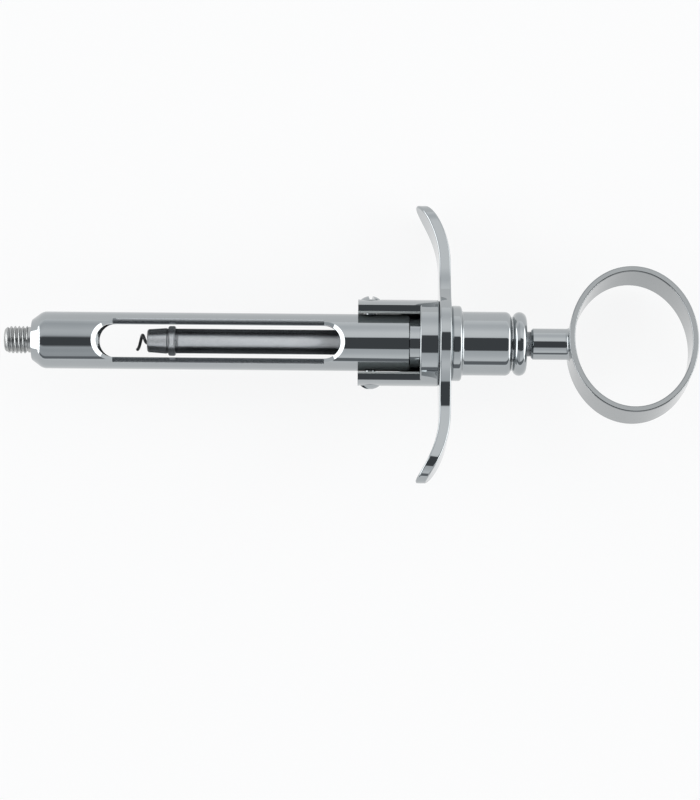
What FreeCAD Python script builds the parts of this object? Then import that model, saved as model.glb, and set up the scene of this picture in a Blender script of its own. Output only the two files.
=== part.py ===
import FreeCAD, Part
import math
import os

# Breech-loading cartridge syringe of polished steel, in millimetres.
# X is the long axis: the needle screws on at -X and the thumb ring is at +X.
# Y runs along the two finger wings and Z points up, away from the table it lies on.
# The origin is the centre of the barrel's nose face, where the needle hub seats.
#
# How it works: the barrel hangs between the two arms of a fork on a pair of pivot screws.
# A sprung sleeve behind it reaches into its open rear end and keeps it in line.
# The pull knob draws that sleeve back, and then the barrel folds to take a glass cartridge.
# The plunger runs through the sleeve, and its corkscrew hook bites into the cartridge's bung.

Vector = FreeCAD.Vector
AXIS = Vector(1, 0, 0)
CENTRE = Vector(0, 0, 0)

# Clearances
RUNNING_GAP = 0.05         # radial, between turned pieces that slide or screw together
LOOSE_GAP = 0.10           # radial, where a part only has to pass through
SEAT_GAP = 0.05            # along the axis, between moving faces at rest
STOP_GAP = 0.10            # along the axis, left at the end of each travel
SAME_PLACE = 1e-4          # two places closer than this are one

# Cartridge that the barrel takes
CARTRIDGE_DIAMETER = 8.65
CARTRIDGE_LENGTH = 64.5
CARTRIDGE_CLEARANCE = 0.275
CARTRIDGE_PUSH = 0.6       # how far a loaded cartridge pushes the sleeve back
CAP_AND_BUNG = 10.75       # cap and squeezed bung, which the plunger can't enter

# Needle adaptor
THREAD_RADIUS = 3.0
THREAD_LENGTH = 6.0
THREAD_LEAD_IN = 0.5
ADAPTOR_SHANK_RADIUS = 3.4
ADAPTOR_HOLE_RADIUS = 1.2
ADAPTOR_CUP_RADIUS = 3.6
ADAPTOR_CUP_DEPTH = 2.2
CARTRIDGE_SEAT_X = 13.15

# Barrel
BARREL_WALL = 1.6
NOSE_WALL = 4.0
NOSE_FACE_RADIUS = 4.45
NOSE_CONE_LENGTH = 2.35
NOSE_ROUNDING = 2.5
REAR_EDGE_BREAK = 0.2
WINDOW_WIDTH = 9.5         # at the barrel's outside, between the long walls that lean outwards
WINDOW_END_RADIUS = 3.6    # of the upright round ends
WINDOW_BEVEL = 0.9         # along the outer edge of the round ends
WINDOW_FRONT = 13.2        # solid barrel ahead of the windows
WINDOW_REAR = 14.0         # solid barrel behind them
PIVOT_TO_REAR = 8.5
PIVOT_RADIUS = 1.2

# Fork
FORK_RADIUS = 9.4
ARM_GAP = 0.10             # between the barrel and each arm
ARM_WIDTH = 9.6
ARM_FRONT = 2.7            # how far the arms reach ahead of the pivot
ARM_EDGE_BREAK = 0.4       # along the inner edges of the arms
SADDLE_CLEARANCE = 0.4     # between the saddle and the barrel when it hangs straight down
SWING_CLEARANCE = 0.12     # behind the barrel's corner as it folds
COLLAR_LENGTH = 4.2
COLLAR_FRONT_ROUNDING = 0.35
COLLAR_REAR_ROUNDING = 0.4
SPIGOT_RADIUS = 6.3        # threaded end that the spring housing screws on
SPIGOT_REACH = 2.8         # how far it reaches behind the finger plate

# Pivot screws
SCREW_HEAD_RADIUS = 2.4
SCREW_SHANK_RADIUS = 1.55
SCREW_SEAT = 8.75          # from the long axis to the spot face
SCREW_RIM = 0.35
SCREW_DOME = 1.05
SLOT_WIDTH = 1.1
SLOT_DEPTH = 0.8
TIP_SETBACK = 0.15         # the pivot ends this far short of the bore
SLOT_TURNS = {"pivot_screw_top": 8.0, "pivot_screw_bottom": 52.0}

# Finger plate
PLATE_THICKNESS = 2.5
PLATE_HALF_HEIGHT = 12.2
PLATE_LOBE_RADIUS = 9.8    # full curve of its upper and lower edge, tighter than a circle about the axis
WING_SPAN = 62.4
WING_HALF_WIDTH = 5.0      # also the radius of the round tips
WING_TIP_THICKNESS = 1.5
FLARE_RADIUS = 12.8        # hollow curve between a lobe and a wing's straight side
WING_BEND_START = 16.5
WING_BEND_RADIUS = 23.0
PLATE_EDGE_ROUNDING = 0.35
PLATE_TURN = -15.0         # degrees about the long axis, as it lies on a lobe and a wing tip

# Spring housing
FLANGE_RADIUS = 8.2
FLANGE_THICKNESS = 2.45
FLANGE_ROUNDING = 0.65
FLANGE_ROOT_ROUNDING = 0.5
FLANGE_ROUNDING_LIMIT = 0.6    # of the step from the housing to the flange
ROOT_ROUNDING_LIMIT = 0.9      # of what the flange's own rounding leaves of that step
HOUSING_RADIUS = 6.95
HOUSING_BORE_RADIUS = 5.65
HOUSING_END_WALL = 1.5
HOUSING_SHOULDER = 1.35

# Lock sleeve and its spring
SLEEVE_REACH = 4.9         # how far the sleeve enters the barrel
SLEEVE_NOSE_RADIUS = 5.5
SLEEVE_NOSE_LENGTH = 8.1
SLEEVE_TAIL_RADIUS = 3.7
SLEEVE_TAIL_PAST = 1.2     # thread behind the housing
LOCK_TRAVEL = 7.2
SPRING_WIRE = 0.8
SPRING_TURNS = 5.5
SPRING_SPARE = 0.8         # left when the spring is fully squeezed

# Pull knob and friction ring
KNOB_HUB_RADIUS = 5.85
KNOB_HUB_LENGTH = 0.2
KNOB_RADIUS = 6.95
KNOB_LENGTH = 2.95
KNOB_REAR_WALL = 1.0
RING_CORD_RADIUS = 0.5
RING_SIDE_GAP = 0.08

# Plunger
ROD_RADIUS = 2.7
RIDGE_RADIUS = 3.25
RIDGE_LENGTH = 1.7
RIDGE_SETBACK = 0.3
RIDGE_ROUNDING = 0.5
RIDGE_CLEARANCE = 0.25
ROD_END_RADIUS = 2.0
ROD_END_LENGTH = 6.0
HOLDER_LENGTH = 4.2
HOLDER_FRONT_RADIUS = 2.52
HOLDER_REAR_RADIUS = 2.8
HOLDER_EDGE_BREAK = 0.25
HOLDER_SPIGOT_RADIUS = 1.5
HOLDER_SPIGOT_LENGTH = 3.5
HOLDER_CUP_RADIUS = 1.7
HOLDER_CUP_DEPTH = 1.0
HOOK_WIRE_RADIUS = 0.34
HOOK_PITCH = 2.7
HOOK_TURNS = 1.25
HOOK_INNER_RADIUS = 0.1
HOOK_OUTER_RADIUS = 2.25
HOOK_SHANK_LENGTH = 2.4
HOOK_POINT_LENGTH = 0.8
HOOK_POINT_RADIUS = 0.05
HOOK_PARK = 0.6            # the drawn-back hook hides this deep in the sleeve
HOOK_TURN = 180.0          # degrees about the long axis, with the point towards -Y

# Thumb ring
STEM_GAP = 1.1             # between the knob and the stem, as the plunger stands
STEM_RADIUS = 3.4
STEM_LENGTH = 8.0
STEM_FRONT_BREAK = 0.4
STEM_ROOT = 0.55           # how deep the stem runs into the band
STEM_WELD = 0.7            # hollow rounding where the stem meets the band
RING_HALF_LENGTH = 14.0
RING_HALF_HEIGHT = 16.5
RING_WALL = 1.3
RING_WIDTH = 9.8
RING_EDGE_ROUNDING = 0.25
RING_TURN = -16.0          # degrees about the long axis

# Places that follow from the sizes
bore_radius = CARTRIDGE_DIAMETER / 2 + CARTRIDGE_CLEARANCE
barrel_radius = bore_radius + BARREL_WALL
sleeve_front_x = CARTRIDGE_SEAT_X + CARTRIDGE_LENGTH - CARTRIDGE_PUSH
sleeve_shoulder_x = sleeve_front_x + SLEEVE_REACH
barrel_length = sleeve_shoulder_x - SEAT_GAP
pivot_x = barrel_length - PIVOT_TO_REAR
arm_inner_y = barrel_radius + ARM_GAP
saddle_x = pivot_x + barrel_radius + SADDLE_CLEARANCE
collar_front_x = pivot_x + math.hypot(PIVOT_TO_REAR, barrel_radius) + SWING_CLEARANCE
plate_front_x = collar_front_x + COLLAR_LENGTH
housing_front_x = plate_front_x + PLATE_THICKNESS
spigot_end_x = housing_front_x + SPIGOT_REACH
sleeve_nose_end_x = sleeve_shoulder_x + SLEEVE_NOSE_LENGTH
spring_space = LOCK_TRAVEL + SPRING_TURNS * SPRING_WIRE + SPRING_SPARE
housing_inner_end_x = sleeve_nose_end_x + spring_space
housing_end_x = housing_inner_end_x + HOUSING_END_WALL
sleeve_end_x = housing_end_x + SLEEVE_TAIL_PAST
rod_passage_radius = ROD_RADIUS + LOOSE_GAP
knob_front_x = housing_end_x + STOP_GAP
knob_rear_x = knob_front_x + KNOB_HUB_LENGTH + KNOB_LENGTH
knob_bore_radius = SLEEVE_TAIL_RADIUS + RUNNING_GAP
stem_front_x = knob_rear_x + STEM_GAP
ring_centre_x = stem_front_x + STEM_LENGTH + RING_HALF_LENGTH
holder_front_x = CARTRIDGE_SEAT_X + CAP_AND_BUNG + STEM_GAP
holder_rear_x = holder_front_x + HOLDER_LENGTH
ridge_front_x = holder_rear_x + RIDGE_SETBACK
ridge_rear_x = ridge_front_x + RIDGE_LENGTH
hook_length = HOOK_PITCH * HOOK_TURNS
hook_root_x = holder_front_x + HOLDER_CUP_DEPTH - HOOK_WIRE_RADIUS
hook_tip_x = hook_root_x - hook_length
plunger_back = sleeve_front_x - hook_tip_x + HOOK_PARK
plunger_forward = STEM_GAP - STOP_GAP
sleeve_cup_end_x = ridge_rear_x + plunger_back + STOP_GAP


def turned(*outline):
    """Solid of revolution about the long axis, from corners given as (x, radius)."""
    corners = [Vector(x, radius, 0) for x, radius in outline]
    wire = Part.makePolygon(corners + corners[:1])
    return Part.Face(wire).revolve(CENTRE, AXIS, 360)


def rod_along(direction, radius, start, length):
    """Cylinder from a start point along a direction."""
    return Part.makeCylinder(radius, length, start, direction)


def circles_at(solid, x, radius):
    """Edges of a turned solid that are circles about the long axis at x."""
    found = []
    for edge in solid.Edges:
        curve = edge.Curve
        if isinstance(curve, Part.Circle):
            off_x = abs(curve.Center.x - x)
            off_radius = abs(curve.Radius - radius)
            off_axis = abs(abs(curve.Axis.x) - 1)
            if max(off_x, off_radius, off_axis) < SAME_PLACE:
                found.append(edge)
    return found


def turned_about_axis(solid, degrees):
    """Copy of a solid, turned about the long axis."""
    copy = solid.copy()
    copy.rotate(CENTRE, AXIS, degrees)
    return copy


def needle_adaptor():
    """Threaded stub for the needle hub, with the cup that centres the cartridge's cap."""
    start = -THREAD_LENGTH
    body_radius = bore_radius - RUNNING_GAP
    return turned(
        (start, ADAPTOR_HOLE_RADIUS),
        (start, THREAD_RADIUS - THREAD_LEAD_IN),
        (start + THREAD_LEAD_IN, THREAD_RADIUS),
        (0, THREAD_RADIUS),
        (0, ADAPTOR_SHANK_RADIUS),
        (NOSE_WALL, ADAPTOR_SHANK_RADIUS),
        (NOSE_WALL, body_radius),
        (CARTRIDGE_SEAT_X, body_radius),
        (CARTRIDGE_SEAT_X, ADAPTOR_CUP_RADIUS),
        (CARTRIDGE_SEAT_X - ADAPTOR_CUP_DEPTH, ADAPTOR_HOLE_RADIUS),
    )


def obround(x_first, x_last, half_width, z):
    """Slot outline with round ends, level at height z."""
    left = Vector(x_first, 0, z)
    right = Vector(x_last, 0, z)
    up = Vector(0, half_width, 0)
    out = Vector(half_width, 0, 0)
    return Part.Wire([
        Part.makeLine(left + up, right + up),
        Part.Arc(right + up, right + out, right - up).toShape(),
        Part.makeLine(right - up, left - up),
        Part.Arc(left - up, left - out, left + up).toShape(),
    ])


def window_slot():
    """Upright slot with round ends through both walls of the barrel."""
    end = WINDOW_BEVEL + WINDOW_END_RADIUS
    outline = obround(WINDOW_FRONT + end, barrel_length - WINDOW_REAR - end,
                      WINDOW_END_RADIUS, -2 * barrel_radius)
    return Part.Face(outline).extrude(Vector(0, 0, 4 * barrel_radius))


def window_rims(tube):
    """Edges where the upright slot comes out of the barrel."""
    rims = []
    for edge in tube.Edges:
        box = edge.BoundBox
        inside = box.XMin > WINDOW_FRONT and box.XMax < barrel_length - WINDOW_REAR
        start = edge.Vertexes[0].Point
        outside = abs(math.hypot(start.y, start.z) - barrel_radius) < SAME_PLACE
        if inside and outside:
            rims.append(edge)
    return rims


def window_groove(side):
    """Cutter for the long walls of one window, which lean outwards at 45 degrees."""
    end = WINDOW_BEVEL + WINDOW_END_RADIUS
    length = barrel_length - WINDOW_REAR - WINDOW_FRONT - 2 * end
    edge_height = math.sqrt(barrel_radius ** 2 - (WINDOW_WIDTH / 2) ** 2)
    outline = [(WINDOW_WIDTH / 2 + height - edge_height, height)
               for height in (edge_height / 2, barrel_radius + BARREL_WALL)]
    outline += [(-y, height) for y, height in reversed(outline)]
    corners = [Vector(WINDOW_FRONT + end, y, side * height) for y, height in outline]
    return Part.Face(Part.makePolygon(corners + corners[:1])).extrude(Vector(length, 0, 0))


def barrel():
    """Tube for the cartridge, with a window on each side and a cross hole for the pivots."""
    tube = turned(
        (0, ADAPTOR_SHANK_RADIUS + RUNNING_GAP),
        (0, NOSE_FACE_RADIUS),
        (NOSE_CONE_LENGTH, barrel_radius),
        (barrel_length - REAR_EDGE_BREAK, barrel_radius),
        (barrel_length, barrel_radius - REAR_EDGE_BREAK),
        (barrel_length, bore_radius),
        (NOSE_WALL, bore_radius),
        (NOSE_WALL, ADAPTOR_SHANK_RADIUS + RUNNING_GAP),
    )
    tube = tube.makeFillet(NOSE_ROUNDING, circles_at(tube, NOSE_CONE_LENGTH, barrel_radius))
    tube = tube.cut(window_slot())
    tube = tube.makeChamfer(WINDOW_BEVEL, window_rims(tube))
    pivot_hole = rod_along(Vector(0, 1, 0), PIVOT_RADIUS + RUNNING_GAP,
                           Vector(pivot_x, -2 * barrel_radius, 0), 4 * barrel_radius)
    return tube.cut([window_groove(1), window_groove(-1), pivot_hole])


def arm_slot(x, length):
    """Space between the arms, with its four long edges broken."""
    half_height = ARM_WIDTH / 2
    wide = arm_inner_y + ARM_EDGE_BREAK
    low = half_height - ARM_EDGE_BREAK
    quarter = [(wide, half_height), (arm_inner_y, low)]
    right = quarter + [(y, -z) for y, z in reversed(quarter)]
    left = [(-y, z) for y, z in reversed(right)]
    corners = [Vector(x, y, z) for y, z in right + left]
    face = Part.Face(Part.makePolygon(corners + corners[:1]))
    return face.extrude(Vector(length, 0, 0))


def fork():
    """Collar with two arms that straddle the barrel, a saddle below it, and a threaded spigot."""
    arms_x = pivot_x - ARM_FRONT
    # The arms and the saddle run a little way into the collar, past the rounding of its front edge.
    root_x = collar_front_x + COLLAR_FRONT_ROUNDING
    arms = rod_along(AXIS, FORK_RADIUS, Vector(arms_x, 0, 0), root_x - arms_x)
    slab = Part.makeBox(root_x - arms_x, 2 * FORK_RADIUS, ARM_WIDTH,
                        Vector(arms_x, -FORK_RADIUS, -ARM_WIDTH / 2))
    arms = arms.common(slab).cut(arm_slot(arms_x, root_x - arms_x))
    saddle = turned(
        (saddle_x, arm_inner_y),
        (saddle_x, FORK_RADIUS),
        (root_x, FORK_RADIUS),
        (root_x, arm_inner_y),
    )
    below = Part.makeBox(root_x - saddle_x, 2 * FORK_RADIUS, FORK_RADIUS,
                         Vector(saddle_x, -FORK_RADIUS, -FORK_RADIUS))
    saddle = saddle.common(below)
    sleeve_way = SLEEVE_NOSE_RADIUS + RUNNING_GAP
    collar = turned(
        (collar_front_x, sleeve_way),
        (collar_front_x, FORK_RADIUS),
        (plate_front_x, FORK_RADIUS),
        (plate_front_x, SPIGOT_RADIUS),
        (spigot_end_x, SPIGOT_RADIUS),
        (spigot_end_x, sleeve_way),
    )
    collar = collar.makeFillet(COLLAR_FRONT_ROUNDING, circles_at(collar, collar_front_x, FORK_RADIUS))
    collar = collar.makeFillet(COLLAR_REAR_ROUNDING, circles_at(collar, plate_front_x, FORK_RADIUS))
    body = collar.fuse([arms, saddle])
    for side in (1, -1):
        outwards = Vector(0, side, 0)
        thread = rod_along(outwards, SCREW_SHANK_RADIUS + RUNNING_GAP,
                           Vector(pivot_x, 0, 0), 2 * FORK_RADIUS)
        spot_face = rod_along(outwards, SCREW_HEAD_RADIUS + LOOSE_GAP,
                              Vector(pivot_x, side * SCREW_SEAT, 0), FORK_RADIUS)
        body = body.cut([thread, spot_face])
    return body


def pivot_screw(side, slot_turn):
    """Shoulder screw with a domed, slotted head: its plain tip is the barrel's pivot."""
    tip_y = bore_radius + TIP_SETBACK
    head_top = SCREW_SEAT + SCREW_RIM + SCREW_DOME
    rim_y = SCREW_SEAT + SCREW_RIM
    half_turn = math.atan2(SCREW_DOME, SCREW_HEAD_RADIUS)
    dome_radius = SCREW_HEAD_RADIUS / math.sin(2 * half_turn)
    mid = Vector(dome_radius * math.sin(half_turn),
                 head_top - dome_radius * (1 - math.cos(half_turn)), 0)
    rim = Vector(SCREW_HEAD_RADIUS, rim_y, 0)
    crown = Vector(0, head_top, 0)
    corners = [
        crown,
        Vector(0, tip_y, 0),
        Vector(PIVOT_RADIUS, tip_y, 0),
        Vector(PIVOT_RADIUS, arm_inner_y, 0),
        Vector(SCREW_SHANK_RADIUS, arm_inner_y, 0),
        Vector(SCREW_SHANK_RADIUS, SCREW_SEAT, 0),
        Vector(SCREW_HEAD_RADIUS, SCREW_SEAT, 0),
        rim,
    ]
    edges = [Part.makeLine(a, b) for a, b in zip(corners, corners[1:])]
    edges.append(Part.Arc(rim, mid, crown).toShape())
    screw = Part.Face(Part.Wire(edges)).revolve(CENTRE, Vector(0, 1, 0), 360)
    slot = Part.makeBox(SLOT_WIDTH, SLOT_DEPTH, 4 * SCREW_HEAD_RADIUS,
                        Vector(-SLOT_WIDTH / 2, head_top - SLOT_DEPTH, -2 * SCREW_HEAD_RADIUS))
    slot.rotate(CENTRE, Vector(0, 1, 0), slot_turn)
    screw = screw.cut(slot)
    if side < 0:
        screw.rotate(CENTRE, AXIS, 180)
    screw.translate(Vector(pivot_x, 0, 0))
    return screw


def wing_profile():
    """Side view of the finger plate: straight in the middle, thinning and bent forward at both ends."""
    front_x = plate_front_x
    rear_x = housing_front_x
    reach = WING_SPAN / 2 - WING_BEND_START + PLATE_THICKNESS
    tip_turn = math.asin(reach / WING_BEND_RADIUS)
    tip_front = (front_x - WING_BEND_RADIUS * (1 - math.cos(tip_turn)), WING_BEND_START + reach)
    tip_rear = (tip_front[0] + WING_TIP_THICKNESS * math.cos(tip_turn),
                tip_front[1] + WING_TIP_THICKNESS * math.sin(tip_turn))
    drop = rear_x - tip_rear[0]
    rise = tip_rear[1] - WING_BEND_START
    rear_radius = (drop ** 2 + rise ** 2) / (2 * drop)
    rear_turn = math.asin(rise / rear_radius)

    def arc_point(face_x, radius, turn, side):
        return Vector(face_x - radius * (1 - math.cos(turn)),
                      side * (WING_BEND_START + radius * math.sin(turn)), 0)

    edges = []
    for side in (1, -1):
        front = [arc_point(front_x, WING_BEND_RADIUS, tip_turn * part, side) for part in (0, 0.5, 1)]
        rear = [arc_point(rear_x, rear_radius, rear_turn * part, side) for part in (0, 0.5, 1)]
        edges.append(Part.Arc(*front).toShape())
        edges.append(Part.makeLine(front[2], rear[2]))
        edges.append(Part.Arc(*rear).toShape())
    for x in (front_x, rear_x):
        edges.append(Part.makeLine(Vector(x, WING_BEND_START, 0), Vector(x, -WING_BEND_START, 0)))
    return Part.Face(Part.Wire(Part.__sortEdges__(edges)))


def plate_outline():
    """Front view of the finger plate: two lobes flow through hollow flares into round-tipped wings."""
    lobe_z = PLATE_HALF_HEIGHT - PLATE_LOBE_RADIUS
    tip_y = WING_SPAN / 2 - WING_HALF_WIDTH
    # The flare touches the wing's straight side from above and the lobe from outside.
    flare_z = WING_HALF_WIDTH + FLARE_RADIUS
    to_lobe = PLATE_LOBE_RADIUS + FLARE_RADIUS
    flare_y = math.sqrt(to_lobe ** 2 - (flare_z - lobe_z) ** 2)
    turn = math.asin(flare_y / to_lobe)
    on_lobe, on_flare, neck = [(flare_y - FLARE_RADIUS * math.sin(part), flare_z - FLARE_RADIUS * math.cos(part))
                               for part in (turn, turn / 2, 0)]

    def arc(first, middle, last):
        return Part.Arc(*[Vector(0, y, z) for y, z in (first, middle, last)]).toShape()

    edges = []
    for side_y in (1, -1):
        for side_z in (1, -1):
            edges.append(arc(*[(side_y * y, side_z * z) for y, z in (on_lobe, on_flare, neck)]))
            edges.append(Part.makeLine(Vector(0, side_y * flare_y, side_z * WING_HALF_WIDTH),
                                       Vector(0, side_y * tip_y, side_z * WING_HALF_WIDTH)))
        edges.append(arc((side_y * tip_y, WING_HALF_WIDTH),
                         (side_y * WING_SPAN / 2, 0),
                         (side_y * tip_y, -WING_HALF_WIDTH)))
    for side_z in (1, -1):
        edges.append(arc((on_lobe[0], side_z * on_lobe[1]),
                         (0, side_z * PLATE_HALF_HEIGHT),
                         (-on_lobe[0], side_z * on_lobe[1])))
    return Part.Face(Part.Wire(Part.__sortEdges__(edges)))


def is_rim(edge):
    """True for an outer edge of the plate: its straight edges along X and Z are joints and bend lines."""
    return not isinstance(edge.Curve, Part.Line) or abs(edge.Curve.Direction.y) > 1 - SAME_PLACE


def finger_plate():
    """Finger rest: one bent plate, clamped between the fork's collar and the spring housing."""
    bent = wing_profile()
    bent.translate(Vector(0, 0, -PLATE_HALF_HEIGHT - PLATE_THICKNESS))
    bent = bent.extrude(Vector(0, 0, 2 * (PLATE_HALF_HEIGHT + PLATE_THICKNESS)))
    outline = plate_outline()
    outline.translate(Vector(plate_front_x - WING_SPAN / 2, 0, 0))
    outline = outline.extrude(Vector(WING_SPAN, 0, 0))
    plate = bent.common(outline)
    plate = plate.makeFillet(PLATE_EDGE_ROUNDING, [edge for edge in plate.Edges if is_rim(edge)])
    hole = rod_along(AXIS, SPIGOT_RADIUS + RUNNING_GAP,
                     Vector(plate_front_x - PLATE_THICKNESS, 0, 0), 3 * PLATE_THICKNESS)
    return turned_about_axis(plate.cut(hole), PLATE_TURN)


def spring_housing():
    """Turned cap that screws on the fork's spigot, clamps the plate and holds the spring."""
    flange_end_x = housing_front_x + FLANGE_THICKNESS
    thread_radius = SPIGOT_RADIUS + RUNNING_GAP
    thread_end_x = spigot_end_x + STOP_GAP
    body = turned(
        (housing_front_x, thread_radius),
        (housing_front_x, FLANGE_RADIUS),
        (flange_end_x, FLANGE_RADIUS),
        (flange_end_x, HOUSING_RADIUS),
        (housing_end_x, HOUSING_RADIUS),
        (housing_end_x, SLEEVE_TAIL_RADIUS + RUNNING_GAP),
        (housing_inner_end_x, SLEEVE_TAIL_RADIUS + RUNNING_GAP),
        (housing_inner_end_x, HOUSING_BORE_RADIUS),
        (thread_end_x, HOUSING_BORE_RADIUS),
        (thread_end_x, thread_radius),
    )
    flange_edges = (circles_at(body, housing_front_x, FLANGE_RADIUS)
                    + circles_at(body, flange_end_x, FLANGE_RADIUS))
    step = FLANGE_RADIUS - HOUSING_RADIUS
    flange_rounding = min(FLANGE_ROUNDING, FLANGE_ROUNDING_LIMIT * step)
    root_rounding = min(FLANGE_ROOT_ROUNDING, ROOT_ROUNDING_LIMIT * (step - flange_rounding))
    body = body.makeFillet(flange_rounding, flange_edges)
    body = body.makeFillet(root_rounding, circles_at(body, flange_end_x, HOUSING_RADIUS))
    return body.makeFillet(HOUSING_SHOULDER, circles_at(body, housing_end_x, HOUSING_RADIUS))


def lock_sleeve():
    """Sliding sleeve: its front end locks the barrel in line and its tail carries the knob."""
    reach_radius = bore_radius - LOOSE_GAP
    cup_radius = RIDGE_RADIUS + RIDGE_CLEARANCE
    return turned(
        (sleeve_front_x, cup_radius),
        (sleeve_front_x, reach_radius - SEAT_GAP),
        (sleeve_front_x + STOP_GAP, reach_radius),
        (sleeve_shoulder_x, reach_radius),
        (sleeve_shoulder_x, SLEEVE_NOSE_RADIUS),
        (sleeve_nose_end_x, SLEEVE_NOSE_RADIUS),
        (sleeve_nose_end_x, SLEEVE_TAIL_RADIUS),
        (sleeve_end_x, SLEEVE_TAIL_RADIUS),
        (sleeve_end_x, rod_passage_radius),
        (sleeve_cup_end_x, rod_passage_radius),
        (sleeve_cup_end_x, cup_radius),
    )


def lock_spring():
    """Coil spring around the sleeve's tail, with its two ends ground flat."""
    first_x = sleeve_nose_end_x + SEAT_GAP
    last_x = housing_inner_end_x
    length = last_x - first_x
    coil_radius = (SLEEVE_TAIL_RADIUS + HOUSING_BORE_RADIUS) / 2
    pitch = length / SPRING_TURNS
    helix = Part.makeHelix(pitch, length, coil_radius)
    ring = Part.makeCircle(SPRING_WIRE / 2, Vector(coil_radius, 0, 0), Vector(0, 1, 0))
    coil = helix.makePipeShell([Part.Wire(ring)], True, True)
    coil = Part.makeSolid(coil) if coil.ShapeType != "Solid" else coil
    coil.rotate(CENTRE, Vector(0, 1, 0), 90)
    coil.translate(Vector(first_x, 0, 0))
    between_seats = rod_along(AXIS, HOUSING_BORE_RADIUS, Vector(first_x, 0, 0), length)
    return coil.common(between_seats)


def pull_knob():
    """Round bead on the sleeve's tail, with a chamber for the friction ring."""
    hub_end_x = knob_front_x + KNOB_HUB_LENGTH
    middle_x = (hub_end_x + knob_rear_x) / 2
    chamber_end_x = knob_rear_x - KNOB_REAR_WALL
    corners = [
        Vector(knob_rear_x, KNOB_HUB_RADIUS, 0),
        Vector(knob_rear_x, rod_passage_radius, 0),
        Vector(chamber_end_x, rod_passage_radius, 0),
        Vector(chamber_end_x, knob_bore_radius, 0),
        Vector(knob_front_x, knob_bore_radius, 0),
        Vector(knob_front_x, KNOB_HUB_RADIUS, 0),
        Vector(hub_end_x, KNOB_HUB_RADIUS, 0),
    ]
    edges = [Part.makeLine(a, b) for a, b in zip(corners, corners[1:])]
    edges.append(Part.Arc(corners[-1], Vector(middle_x, KNOB_RADIUS, 0), corners[0]).toShape())
    return Part.Face(Part.Wire(edges)).revolve(CENTRE, AXIS, 360)


def friction_ring():
    """Rubber ring in the knob that grips the rod."""
    chamber_end_x = knob_rear_x - KNOB_REAR_WALL
    x = (sleeve_end_x + chamber_end_x) / 2
    ring_radius = ROD_RADIUS + RUNNING_GAP + RING_CORD_RADIUS
    cord = min(RING_CORD_RADIUS, (chamber_end_x - sleeve_end_x) / 2 - RING_SIDE_GAP)
    return Part.makeTorus(ring_radius, cord, Vector(x, 0, 0), AXIS)


def piston_rod():
    """Plunger rod, with a rounded ridge near its front and a reduced end in the thumb ring's stem."""
    socket_radius = HOLDER_SPIGOT_RADIUS + RUNNING_GAP
    socket_end_x = holder_rear_x + HOLDER_SPIGOT_LENGTH + STOP_GAP
    rod = turned(
        (holder_rear_x, socket_radius),
        (holder_rear_x, ROD_RADIUS),
        (ridge_front_x, ROD_RADIUS),
        (ridge_front_x, RIDGE_RADIUS),
        (ridge_rear_x, RIDGE_RADIUS),
        (ridge_rear_x, ROD_RADIUS),
        (stem_front_x, ROD_RADIUS),
        (stem_front_x, ROD_END_RADIUS),
        (stem_front_x + ROD_END_LENGTH, ROD_END_RADIUS),
        (stem_front_x + ROD_END_LENGTH, 0),
        (socket_end_x, 0),
        (socket_end_x, socket_radius),
    )
    ridge = circles_at(rod, ridge_front_x, RIDGE_RADIUS) + circles_at(rod, ridge_rear_x, RIDGE_RADIUS)
    return rod.makeFillet(RIDGE_ROUNDING, ridge)


def hook_holder():
    """Tapered tip of the rod, with a cup in front for the root of the hook."""
    cup_end_x = holder_front_x + HOLDER_CUP_DEPTH
    shank_end_x = hook_root_x + HOOK_SHANK_LENGTH + STOP_GAP
    shank_way = HOOK_WIRE_RADIUS + RUNNING_GAP
    return turned(
        (holder_front_x, HOLDER_CUP_RADIUS),
        (holder_front_x, HOLDER_FRONT_RADIUS - HOLDER_EDGE_BREAK),
        (holder_front_x + HOLDER_EDGE_BREAK, HOLDER_FRONT_RADIUS),
        (holder_rear_x, HOLDER_REAR_RADIUS),
        (holder_rear_x, HOLDER_SPIGOT_RADIUS),
        (holder_rear_x + HOLDER_SPIGOT_LENGTH, HOLDER_SPIGOT_RADIUS),
        (holder_rear_x + HOLDER_SPIGOT_LENGTH, 0),
        (shank_end_x, 0),
        (shank_end_x, shank_way),
        (cup_end_x, shank_way),
        (cup_end_x, HOLDER_CUP_RADIUS),
    )


def corkscrew_hook():
    """Wire that leaves the holder on the axis, widens into a right-handed spiral and ends in a point."""
    flare = math.degrees(math.atan((HOOK_OUTER_RADIUS - HOOK_INNER_RADIUS) / hook_length))
    spiral = Part.makeHelix(HOOK_PITCH, hook_length, HOOK_INNER_RADIUS, flare)
    root = spiral.Edges[0]
    wire_ring = Part.makeCircle(HOOK_WIRE_RADIUS, root.valueAt(root.FirstParameter),
                                root.tangentAt(root.FirstParameter))
    wire = spiral.makePipeShell([Part.Wire(wire_ring)], True, True)
    end = spiral.Edges[-1]
    point = Part.makeCone(HOOK_WIRE_RADIUS, HOOK_POINT_RADIUS, HOOK_POINT_LENGTH,
                          end.valueAt(end.LastParameter), end.tangentAt(end.LastParameter))
    shank = Part.makeCylinder(HOOK_WIRE_RADIUS, HOOK_SHANK_LENGTH, CENTRE, Vector(0, 0, -1))
    knuckle = Part.makeSphere(HOOK_WIRE_RADIUS, CENTRE)
    hook = wire.fuse([point, shank, knuckle])
    hook.rotate(CENTRE, Vector(0, 1, 0), -90)
    hook.translate(Vector(hook_root_x, 0, 0))
    return turned_about_axis(hook, HOOK_TURN)


def weld_edges(ring):
    """Edges where the round stem runs into the band."""
    found = []
    for face in ring.Faces:
        if isinstance(face.Surface, Part.Cylinder) and abs(face.Surface.Radius - STEM_RADIUS) < SAME_PLACE:
            found += [edge for edge in face.Edges
                      if edge.BoundBox.XLength > SAME_PLACE and not isinstance(edge.Curve, Part.Line)]
    return found


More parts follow.
